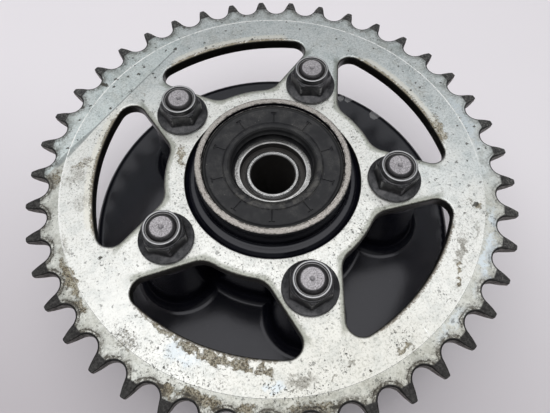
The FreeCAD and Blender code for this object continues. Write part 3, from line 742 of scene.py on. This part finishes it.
def zinc_plate():
    """Worn zinc plating: pits, mottling, stains, grime with painted shade on the teeth, edges and walls, and
    a painted highlight on the step line.
    """
    g = Graph("zinc_plate_worn")
    middle = g.noise(0.2, 4, 0.62)
    fine = g.noise(1.05, 4, 0.72)
    grain = g.noise(3.2, 3, 0.7)
    gritty = g.noise(1.1, 5, 0.78)
    crumbs = g.noise(1.5, 4, 0.78)
    ragged_place = g.shifted(0.34, 9)
    jitter = g.shifted(0.9, 2.4)
    far_side = g.step(g.y, -25, 6)
    lower_side = g.step(g.scaled(g.x, 0.6, g.y), 0, -60)
    rim = g.step(g.radius, RIM_STEP_RADIUS - 0.2, RIM_STEP_RADIUS + 0.2)

    # the plating beyond the long scratch stayed clean
    lengthways, sideways = g.split(g.framed(*SCRATCH_FRAME))[:2]
    clean_side = g.times(g.step(sideways, -0.5, 0.5), g.band(lengthways, 0, 58, 44))

    # blue-grey plating on the far side, worn pale and warm on the near side
    slope = g.scaled(g.x, -0.55, g.times(g.y, -1))
    slope = g.scaled(g.noise(0.035, 3), 110, g.minus(slope, 55))
    slope = g.scaled(g.step(g.radius, 66, 54), 62, slope)
    worn = g.times(g.step(slope, -52, -2), g.minus(1, clean_side))
    spotless = g.blobs(SPOTLESS)
    g.colour = g.mix(worn, (0.725, 0.765, 0.765), (0.93, 0.93, 0.895))
    g.cover((0.76, 0.82, 0.815), clean_side)
    g.dim((0.74, 0.775, 0.785), g.step(middle, 0.46, 0.66), g.blend(worn, 0.6, 0.34))
    smudge = g.cloud(0.5, 0.66, 0.055, 5, 0.65)
    g.dim((0.78, 0.76, 0.72), smudge, g.blend(worn, 0.55, 0.2))
    flecks = g.times(g.step(fine, 0.5, 0.64), g.blend(worn, 0.5, 0.56), g.blend(spotless, 1, 0.35))
    g.dim((0.56, 0.57, 0.54), flecks)
    g.cover((0.95, 0.96, 0.94), g.step(fine, 0.47, 0.34), 0.55)
    g.dim((0.55, 0.55, 0.53), g.step(grain, 0.54, 0.7), g.blend(spotless, 0.5, 0.3))
    g.dim((0.82, 0.81, 0.78), g.blob(*DULL_FRONT), 0.85)

    # a duller rim outside the step
    g.dim(g.mix(worn, (1.02, 1.02, 1.02), (0.77, 0.775, 0.755)), rim)
    g.dim((0.66, 0.65, 0.62), rim, g.cloud(0.46, 0.64, 0.16, 4, 0.65), 0.55)
    g.cover((0.76, 0.83, 0.88), g.arcs(BLUISH, ragged_place), g.step(middle, 0.38, 0.55))

    # cream, worn borders along the outer edges of the windows on the far side, grit and a dark line at them
    beyond, aside, hubward = near_window_edge(g)
    border = g.times(g.band(beyond, 1.4, 4.2, 1.2), g.step(aside, 34, 27), far_side)
    ragged_border = g.step(g.scaled(border, 0.55, g.noise(0.5, 4, 0.7)), 0.6, 0.86)
    g.cover((0.9, 0.88, 0.8), ragged_border, border, 0.85)
    close = g.times(g.band(beyond, 0, 3, 0.6), g.step(aside, 34, 28))
    edge_grit = g.step(g.scaled(close, 0.34, g.noise(1.1, 4, 0.75)), 0.68, 0.84)
    g.cover((0.12, 0.095, 0.065), edge_grit, 0.8)
    edge_line = g.times(g.step(beyond, 2.3, 0.9), g.step(beyond, -1.4, -0.6), g.step(aside, 36, 31))
    edge_line = g.times(edge_line, g.cloud(0.4, 0.56, 0.35, 4, 0.7))
    g.cover((0.25, 0.215, 0.15), edge_line, g.blend(far_side, 0.25, 0.8))

    # painted shade along the star's arms, standing for a rolled edge wider than the modelled one
    uneven = g.scaled(g.noise(0.5, 4, 0.65), 2.4, g.minus(hubward, 1.2))
    rolled_edge_shade = g.times(g.step(uneven, 3.2, 1.4), g.step(g.radius, 79, 74))
    g.dim((0.43, 0.44, 0.4), rolled_edge_shade, 0.85)

    # pits and specks
    near_hub = g.times(g.step(g.radius, 62, 54), 0.62)
    crowd = g.most(g.cloud(0.5, 0.66, 0.075, 3), g.blobs(CROWDED), near_hub)
    large_pits = g.times(g.specks(0.24, 1.25, 0.28, jitter, flat=True), g.blend(worn, 1, 0.5))
    small_pits = g.times(g.specks(0.8, 0.75, 0.5, jitter), g.blend(crowd, 0.2, 0.95))
    dense_pits = g.times(g.specks(1.3, 0.62, 0.62, jitter), crowd, crowd)
    deep_pits = g.most(large_pits, small_pits)
    g.cover((0.15, 0.135, 0.105), dense_pits, 0.65)
    g.cover((0.055, 0.055, 0.05), deep_pits, 0.9)
    all_pits = g.most(deep_pits, g.times(dense_pits, 0.6))

    # stains
    grey = g.blobs(GREY_STAINS, ragged_place)
    grey_mask = g.times(g.step(g.scaled(grey, 0.55, gritty), 0.52, 1), g.step(grey, 0, 0.6),
                        g.blend(g.step(crumbs, 0.56, 0.42), 1, 0.5))
    g.cover((0.2, 0.185, 0.15), grey_mask, 0.88)
    olive = g.most(g.blobs(OLIVE_STAINS, ragged_place), g.arcs(OLIVE_RIM, ragged_place),
                   g.arcs(OLIVE_WINDOW, ragged_place, NEAR_EDGE_CENTRE))
    olive_mask = g.times(g.step(g.scaled(olive, 0.52, gritty), 0.62, 0.9), g.step(olive, 0.02, 0.25),
                         g.blend(g.step(crumbs, 0.49, 0.38), 1, 0.45))
    earth = g.mix(g.cloud(0.42, 0.62, 0.5, 3), (0.42, 0.37, 0.26), (0.24, 0.19, 0.11))
    earth = g.mix(g.step(crumbs, 0.47, 0.6), earth, (0.028, 0.023, 0.016))
    g.cover(earth, olive_mask, 0.94)
    marks = g.scaled(g.blobs(DARK_MARKS, jitter), 0.6, g.noise(1.1, 4, 0.75))
    g.cover((0.06, 0.056, 0.045), g.step(marks, 0.74, 0.9), 0.9)

    # the scratch itself, wide at its outer end
    width = g.blend(g.step(lengthways, -34, -12), 1.7, 0.42)
    across = g.math("DIVIDE", g.math("ABSOLUTE", sideways), width)
    scratch = g.times(g.step(across, 1, 0.5), g.band(lengthways, 0, 44, 41))
    g.cover((0.27, 0.3, 0.3), scratch, g.cloud(0.22, 0.46, 0.5, 4, 0.7), 0.74)

    # the bright line of the step, a painted highlight that is clearest on the far side, and a short bright
    # nick beside it
    step_highlight_and_nick = g.times(g.band(g.radius, RIM_STEP_RADIUS, 0.42, 0.2), g.cloud(0.41, 0.47, 0.8, 4, 0.75),
                   g.blend(g.step(g.y, -35, 10), 0.12, 1))
    step_highlight_and_nick = g.most(step_highlight_and_nick, g.blob(*BRIGHT_NICK))
    g.cover((0.97, 0.97, 0.95), step_highlight_and_nick, 0.95)

    # beside the tooth gaps: a ragged dark line, black crumbs and soot
    seat = around_nearest(g, TOOTH_COUNT, PITCH_RADIUS, math.pi / 2)
    strayed = g.scaled(g.noise(0.45, 3), 2.4, g.minus(seat, 1.2))
    places = g.times(g.cloud(0.41, 0.51, 0.11, 2), g.cloud(0.36, 0.5, 1.2, 3), g.step(g.radius, 98, 98.6))
    ragged = g.times(g.band(strayed, 7.1, 0.5, 0.16), g.blend(lower_side, 0.35, 1))
    g.cover((0.035, 0.03, 0.025), ragged, places, 0.88)
    black_crumbs = g.times(g.step(strayed, 11.5, 8.5), g.cloud(0.57, 0.64, 0.85, 4, 0.75))
    g.cover((0.035, 0.03, 0.024), black_crumbs, rim, lower_side, 0.85)
    soot = g.times(g.step(strayed, 9.4, 5.9), g.cloud(0.34, 0.56, 0.8, 4, 0.72), rim)
    less = g.times(g.blend(lower_side, 0.7, 0.92), g.blend(g.step(g.x, 62, 88), 1, 0.45))
    g.cover((0.085, 0.075, 0.06), soot, less)

    # grime mixed with painted shade on the teeth's bevels, on the walls of the gaps, and on the rolled edges
    # and walls further in
    outside = g.step(g.radius, 98.5, 99.5)
    inside = g.minus(1, outside)
    tooth_grime_and_shade = g.times(g.step(g.facing, 0.9975, 0.984), outside)
    tooth_grime_and_shade_tone = g.mix(g.cloud(0.42, 0.7, 1, 4, 0.75), (0.022, 0.021, 0.022), (0.19, 0.185, 0.175))
    tooth_grime_and_shade_tone = g.mix(g.times(lower_side, 0.65), tooth_grime_and_shade_tone, (0.02, 0.018, 0.018))
    # painted shade: the steeper faces of the teeth are made near black
    tooth_grime_and_shade_tone = g.mix(g.step(g.facing, 0.96, 0.88), tooth_grime_and_shade_tone, (0.01, 0.0095, 0.009))
    streaks = g.cloud(0.4, 0.62, 0.9, 4, 0.7, g.vector("MULTIPLY", g.place, (0.5, 0.5, 2.2)))
    gap_wall = g.mix(streaks, (0.03, 0.027, 0.025), (0.3, 0.28, 0.26))
    tooth_grime_and_shade_tone = g.mix(g.step(g.facing, 0.5, 0.25), tooth_grime_and_shade_tone, gap_wall)
    g.cover(tooth_grime_and_shade_tone, tooth_grime_and_shade, 0.97)
    # grime and painted shade on the rolled edges, set by their tilt
    rolled_edge_grime_and_shade = g.times(g.step(g.facing, 0.99, 0.85), inside, g.cloud(0.34, 0.58, 0.9, 4, 0.7))
    g.cover((0.1, 0.09, 0.07), rolled_edge_grime_and_shade, 0.8)
    # painted shade and painted dark reflection, with grime, make the inner walls near black
    wall_shade_and_grime = g.times(g.step(g.facing, 0.86, 0.6), inside)
    g.cover((0.014, 0.013, 0.011), wall_shade_and_grime, 0.97)

    rough = g.scaled(middle, 0.16, g.blend(worn, 0.24, 0.3))
    rough = g.scaled(g.most(olive_mask, tooth_grime_and_shade), 0.25, rough)
    rough = g.scaled(all_pits, 0.25, rough, clamp=True)
    metal = g.minus(0.86, g.times(g.most(olive_mask, all_pits, step_highlight_and_nick, grey_mask), 0.66))
    metal = g.minus(metal, g.times(g.most(tooth_grime_and_shade, wall_shade_and_grime, rolled_edge_grime_and_shade), 0.45), clamp=True)
    normal = g.bump(grain, 0.03, 0.5)
    normal = g.bump(fine, 0.07, 0.5, normal)
    normal = g.bump(g.minus(g.times(olive_mask, gritty), all_pits), 0.15, 0.8, normal)
    return g.finish(rough, metal, normal)


def black_paint():
    """Semi-gloss black over a cast surface, chipped at the rim, with bare machined faces."""
    g = Graph("cast_black_paint")
    fine = g.noise(0.9, 4, 0.6)
    g.colour = g.mix(g.cloud(0.35, 0.7, 0.06, 4, 0.6), (0.0024, 0.0025, 0.005), (0.004, 0.0042, 0.0074))
    dust = g.times(g.step(fine, 0.5, 0.8), g.step(g.facing, 0.3, 0.9))
    g.cover((0.06, 0.058, 0.055), dust, 0.1)
    g.cover((0.13, 0.12, 0.11), g.specks(0.3, 0.8, 0.2), 0.16)

    # bare metal: the boss's end, the bore in the underside, the vane ends, the bearing's seat and the chips
    boss = g.times(g.step(g.z, BOSS_TOP - 0.9, BOSS_TOP - 0.3), g.step(g.facing, 0.35, 0.75))
    register = g.times(g.step(g.radius, REGISTER_RADIUS + 0.35, REGISTER_RADIUS + 0.15),
                       g.step(g.z, REGISTER_TOP + 1, REGISTER_TOP + 0.6))
    bearing_seat = g.times(g.step(g.radius, BEARING_RADIUS + 0.25, BEARING_RADIUS + 0.1),
                           g.step(g.z, BEARING_BOTTOM - 1.3, BEARING_BOTTOM - 0.9))
    machined = g.most(boss, register, g.step(g.z, 0.5, 0.25), bearing_seat)
    chip_mask = g.step(g.scaled(g.noise(0.7, 3), 0.7, g.blobs(CHIPS)), 0.72, 0.78)
    chip_foot = g.scaled(g.noise(0.45, 3), 5, g.z)
    chip_mask = g.times(chip_mask, g.step(chip_foot, DISC_TOP - 0.6, DISC_TOP - 0.3),
                        g.step(g.z, DISC_TOP + 2, DISC_TOP + 1))
    bare = g.most(machined, chip_mask)
    metal = g.mix(g.cloud(0.4, 0.62, 2.6, 4, 0.75), (0.64, 0.605, 0.57), (0.26, 0.235, 0.21))
    metal = g.mix(g.times(g.specks(1.3, 0.55, 0.5), 0.8), metal, (0.1, 0.08, 0.065))
    chipped_rim = g.times(g.minus(1, g.band(g.radius, BOSS_FACE_MIDDLE, 1.05, 0.5)),
                          g.cloud(0.45, 0.55, 0.6, 5, 0.8))
    metal = g.mix(g.times(chipped_rim, 0.85), metal, (0.03, 0.026, 0.022))
    metal = g.mix(g.times(chip_mask, 0.8), metal, (0.3, 0.3, 0.31))
    g.cover(metal, bare)

    rough = g.blend(bare, g.scaled(fine, 0.1, 0.15), 0.42)
    orange_peel = g.bump(g.noise(0.3, 2), 0.06, 0.3)
    sand = g.blend(g.step(g.z, DISC_TOP + 1.5, DISC_TOP - 1), g.noise(1.6, 3), g.noise(1.2, 3))
    cast = g.bump(sand, 0.025, 0.3, orange_peel)
    lathe = g.math("SINE", g.times(g.radius, TAU / 0.45))
    normal = g.bump(g.times(lathe, machined), 0.006, 0.6, cast)
    # grime takes the shine off the rounded corners of the casting, away from the boss
    corner = g.times(g.step(g.facing, 0.06, 0.2), g.step(g.facing, 0.992, 0.955))
    corner = g.times(corner, g.step(g.radius, 44.5, 46), g.step(g.z, 66, 60))
    return g.finish(rough, g.times(bare, 0.78), normal, Specular_Tint=(0.94, 0.94, 1, 1),
                    Specular_IOR_Level=g.blend(corner, 0.62, 0.12))


def nut_steel():
    """Dark plated nuts, with rubbed wear and painted highlights on the rolled collar, the flange edge and the
    hexagon's shoulder and corners.
    """
    g = Graph("dark_plated_nut")
    out = around_nearest_stud(g)
    up = g.minus(g.z, PLATE_TOP)
    fine = g.noise(2.4, 4, 0.7)
    g.colour = g.mix(g.cloud(0.35, 0.68, 0.35, 4, 0.65), (0.048, 0.048, 0.052), (0.115, 0.113, 0.118))
    g.cover((0.26, 0.255, 0.25), g.step(fine, 0.52, 0.75), 0.5)
    # rubbed wear together with painted highlights on the flange's edge, the hexagon's shoulder and corners,
    # and the collar's rim
    flange = g.times(g.step(out, 11.7, 11.98), g.step(up, 0.6, 1.1), 0.35)
    shoulder = g.times(g.band(up, 9.2, 0.6, 0.2), g.step(out, 8.6, 8.9), 0.45)
    corners = g.times(g.step(out, 9.3, 9.62), g.step(up, 3.2, 3.8), g.step(up, 8.9, 8.3),
                      g.cloud(0.42, 0.56, 0.8, 3), 0.4)
    collar = g.times(g.step(up, 11.75, 12.05), g.band(out, 7.4, 0.45, 0.2), g.cloud(0.18, 0.42, 1.3, 3))
    rubbed_and_highlit = g.most(g.times(g.most(flange, shoulder), g.cloud(0.4, 0.6, 1.1, 3)), corners, collar)
    g.cover((0.55, 0.55, 0.56), rubbed_and_highlit)
    g.cover((0.03, 0.03, 0.03), g.specks(1.1, 0.5, 0.4), 0.6)
    rough = g.scaled(fine, 0.22, 0.26)
    return g.finish(rough, g.blend(rubbed_and_highlit, 0.75, 0.95), g.bump(fine, 0.03, 0.5))


def stud_steel():
    """Speckled grey stud ends with a rolled thread."""
    g = Graph("stud_steel_dull")
    out = around_nearest_stud(g)
    speckle = g.noise(1.7, 5, 0.8)
    g.colour = g.mix(g.step(speckle, 0.36, 0.64), (0.24, 0.225, 0.235), (0.6, 0.575, 0.6))
    g.cover((0.1, 0.09, 0.095), g.specks(1.2, 0.55, 0.5), 0.65)
    g.cover((0.035, 0.034, 0.036), g.step(out, 4.45, 4.75), 0.85)
    g.cover((0.17, 0.16, 0.17), g.step(out, 1.3, 0.9), 0.55)
    rings = g.math("SINE", g.times(out, TAU / 0.5))
    normal = g.bump(speckle, 0.06, 0.6, g.bump(rings, 0.01, 0.5))
    return g.finish(g.scaled(speckle, 0.25, 0.32), 0.7, normal)


def turned_steel(name, dark, light, rough_low, marks, rust=0, hollow=None):
    """Steel with fine turning marks about the axle axis, marks apart, and a little soiling.

    hollow is the radius and height inside and below which the bore is darkened as painted shade."""
    g = Graph(name)
    fine = g.noise(1.8, 4, 0.7)
    g.colour = g.mix(g.cloud(0.3, 0.7, 0.25, 4, 0.65), dark, light)
    g.cover(tuple(0.45 * part for part in dark), g.step(fine, 0.54, 0.76), 0.45)
    g.cover((0.12, 0.1, 0.085), g.specks(0.9, 0.55, 0.35), 0.6)
    if rust:
        g.cover((0.2, 0.12, 0.07), g.cloud(0.52, 0.7, 0.14, 4, 0.7), rust)
    rough = g.scaled(fine, 0.2, rough_low)
    metal = 0.95
    if hollow:
        radius, top = hollow
        # painted shade inside the bore
        bore_shade = g.times(g.step(g.radius, radius + 0.12, radius - 0.12), g.step(g.z, top + 0.15, top - 0.15))
        g.cover((0.014, 0.011, 0.009), bore_shade, 0.97)
        rough = g.scaled(bore_shade, 0.2, rough, clamp=True)
        metal = g.blend(bore_shade, metal, 0.1)
        end_face = g.times(g.step(g.radius, radius + 0.3, radius + 0.5), g.step(g.z, 78, 78.5))
        g.cover((0.07, 0.068, 0.066), end_face, g.cloud(0.47, 0.56, 2.6, 4, 0.8), 0.85)
        # painted shade on the far side of the end face, under the lip
        g.cover((0.1, 0.1, 0.1), end_face, g.step(g.y, 5, 15), 0.6)
    groove = g.math("SINE", g.times(g.math("ADD", g.radius, g.z), TAU / marks))
    normal = g.bump(groove, 0.004, 0.6, g.bump(fine, 0.02, 0.4))
    return g.finish(rough, metal, normal)


def rubber(name, dusty):
    """Moulded black rubber, greyed by dust on upward faces."""
    g = Graph(name)
    cloud = g.noise(0.12, 4, 0.65)
    fine = g.noise(2, 4, 0.7)
    g.colour = g.mix(g.step(cloud, 0.35, 0.68), (0.01, 0.01, 0.012), (0.021, 0.021, 0.023))
    dust = g.times(g.step(cloud, 0.45, 0.7), g.step(fine, 0.4, 0.7))
    smear = g.times(g.band(g.radius, 20.3, 2.4, 1.2), g.step(g.y, 2, -14))
    smear = g.times(smear, g.cloud(0.42, 0.6, 0.3, 4, 0.7))
    g.cover((0.11, 0.105, 0.095), g.most(dust, smear), dusty)
    g.cover((0.22, 0.21, 0.19), g.specks(0.5, 0.5, 0.2), 0.5)
    # painted shade in the lip seal's crevice beside its rim, and the rings on its inner lip
    on_lip_seal = g.step(g.z, 84, 84.6)
    g.cover((0.003, 0.003, 0.003), on_lip_seal, g.step(g.radius, 29.3, 29.7), 0.75)
    rings = g.step(g.math("SINE", g.times(g.radius, TAU / 0.42)), 0.2, 0.8)
    lip = g.times(on_lip_seal, g.step(g.radius, 19.7, 19.2))
    g.cover((0.003, 0.003, 0.0035), lip, g.blend(rings, 0.9, 0.35))
    normal = g.bump(fine, 0.03, 0.5, g.bump(g.noise(0.5, 2), 0.05, 0.3))
    return g.finish(g.scaled(fine, 0.2, 0.42), 0, normal, Specular_IOR_Level=0.45)


def nylon():
    """Dark locking ring with a grey edge where the stud's thread has cut it."""
    g = Graph("locking_ring_nylon")
    fine = g.noise(2.2, 3)
    inner = g.band(around_nearest_stud(g), 6.62, 0.2, 0.08)
    g.colour = g.mix(g.step(fine, 0.35, 0.7), (0.02, 0.019, 0.02), (0.06, 0.058, 0.056))
    g.cover((0.36, 0.355, 0.36), inner, 0.75)
    return g.finish(g.scaled(fine, 0.2, 0.38), g.times(inner, 0.6), g.bump(fine, 0.03, 0.5))


def dress(material, *nodes):
    """Gives CAD nodes their finished material."""
    for node in nodes:
        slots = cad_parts[node].data.materials
        for index in range(len(slots)):
            slots[index] = material


def stand_for(piece, node, body, material):
    """A detailed piece that rides on a body and stands for a CAD node."""
    piece.data.materials.clear()
    piece.data.materials.append(material)
    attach(piece, body)
    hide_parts(node)


stand_for(make_sprocket(), "sprocket", "drum", zinc_plate())
nuts = make_at_studs("flange_nut_set", nut_outline, NUT_TURNS, 168, True, 48.0)
studs = make_at_studs("stud_set", stud_outline, [0.0] * 5, 72, False, 60.0)
stand_for(nuts, "flange_nuts", "drum", nut_steel())
stand_for(studs, "carrier_studs", "drum", stud_steel())
stand_for(make_hub_seal(), "hub_seal_rubber", "drum", rubber("hub_seal_dusty", 0.55))

dress(black_paint(), "sprocket_carrier")
dress(nylon(), "nut_lock_rings")
dress(turned_steel("bearing_ring_steel", (0.45, 0.445, 0.44), (0.7, 0.695, 0.69), 0.22, 0.35,
                   hollow=(15.05, 81.0)), "bearing_outer_ring", "bearing_inner_ring")
dress(turned_steel("ball_polished_steel", (0.62, 0.62, 0.63), (0.74, 0.74, 0.75), 0.06, 5.0), "bearing_balls")
dress(rubber("bearing_seal_rubber", 0.35), "bearing_seal_outer", "bearing_seal_inner")
dress(turned_steel("pressed_sheet_steel", (0.4, 0.4, 0.395), (0.58, 0.58, 0.57), 0.3, 0.9),
      "cage_half_outer", "cage_half_inner", "bearing_seal_plate_outer", "bearing_seal_plate_inner",
      "cage_rivets", "hub_seal_case", "hub_seal_spring")
dress(turned_steel("sleeve_turned_steel", (0.5, 0.5, 0.5), (0.78, 0.78, 0.78), 0.22, 0.4, 0.35,
                   (10.35, 78.6)), "spacer_sleeve")


# ---- floor, light and camera ----

CAMERA_PLACE = Vector((-32.97, -110.6, 281.25)) * MM
CAMERA_TARGET = Vector((-3.01, -13.86, 74.0)) * MM
CAMERA_ROLL = math.radians(0.97)
CAMERA_LENS = 33.73
VIEW_AHEAD = (0.5, 0.866, 0.0)
FLOOR_HALF_SIZE = 3000.0
FLOOR_HEIGHT = -0.05
SKY_STRENGTH = 1.35
# brightness of the surround by height, from straight below at 0 to straight above at 1
SKY = [
    (0.0, (0.05, 0.05, 0.053)), (0.5, (0.07, 0.072, 0.077)), (0.68, (0.17, 0.175, 0.18)),
    (0.755, (0.42, 0.435, 0.445)), (0.825, (0.83, 0.84, 0.845)), (0.905, (0.98, 0.98, 0.98)),
]
LAMP_PLACE = (-0.2, 0.25, 1.3)
LAMP_SIZE = 1.6
LAMP_POWER = 9.0


def make_floor():
    """A large pale floor with painted light falloff, a little brighter towards the far side, just clear of
    the vane ends.
    """
    size = FLOOR_HALF_SIZE
    corners = [(x * size, y * size, FLOOR_HEIGHT) for x, y in ((-1, -1), (1, -1), (1, 1), (-1, 1))]
    floor = make_object("floor", corners, [(0, 1, 2, 3)])
    g = Graph("pale_floor")
    # painted light falloff: the floor's colour brightens towards the far side
    share = g.step(g.vector("DOT_PRODUCT", g.place, VIEW_AHEAD), -240.0, 110.0)
    g.colour = g.mix(share, (0.435, 0.402, 0.424), (0.8, 0.767, 0.8))
    g.cover((0.5, 0.5, 0.5), g.noise(0.01, 2.0), 0.06)
    floor.data.materials.append(g.finish(0.75, 0.0, None, Specular_IOR_Level=0.1))


def make_world():
    """Soft studio surround: a wide bright patch overhead that fades to grey at the sides."""
    world = bpy.data.worlds.new("studio")
    bpy.context.scene.world = world
    world.use_nodes = True
    tree = world.node_tree
    coordinates = tree.nodes.new("ShaderNodeTexCoord")
    split = tree.nodes.new("ShaderNodeSeparateXYZ")
    ramp = tree.nodes.new("ShaderNodeValToRGB")
    tree.links.new(coordinates.outputs["Generated"], split.inputs[0])
    tree.links.new(split.outputs[2], ramp.inputs[0])
    tree.links.new(ramp.outputs[0], tree.nodes["Background"].inputs["Color"])
    tree.nodes["Background"].inputs["Strength"].default_value = SKY_STRENGTH
    stops = ramp.color_ramp.elements
    for position, colour in SKY[1:-1]:
        stops.new(position)
    for stop, (position, colour) in zip(stops, SKY):
        stop.position = position
        stop.color = (*colour, 1.0)


def make_lamp():
    """A wide soft lamp overhead, which shows in no reflection."""
    light = bpy.data.lights.new("overhead", "AREA")
    light.shape = "DISK"
    light.size = LAMP_SIZE
    light.energy = LAMP_POWER
    lamp = add_object("overhead", light)
    lamp.location = LAMP_PLACE
    lamp.rotation_euler = (-Vector(LAMP_PLACE)).to_track_quat("-Z", "Y").to_euler()
    lamp.visible_glossy = False


def make_camera():
    camera = add_object("camera", bpy.data.cameras.new("camera"))
    camera.data.lens = CAMERA_LENS
    camera.data.sensor_width = 36.0
    camera.data.clip_start = 0.01
    camera.location = CAMERA_PLACE
    look = (CAMERA_TARGET - CAMERA_PLACE).to_track_quat("-Z", "Y").to_matrix().to_4x4()
    camera.rotation_euler = (look @ Matrix.Rotation(CAMERA_ROLL, 4, "Z")).to_euler()
    bpy.context.scene.camera = camera


make_floor()
make_world()
make_lamp()
make_camera()
bpy.context.scene.view_settings.view_transform = "Standard"
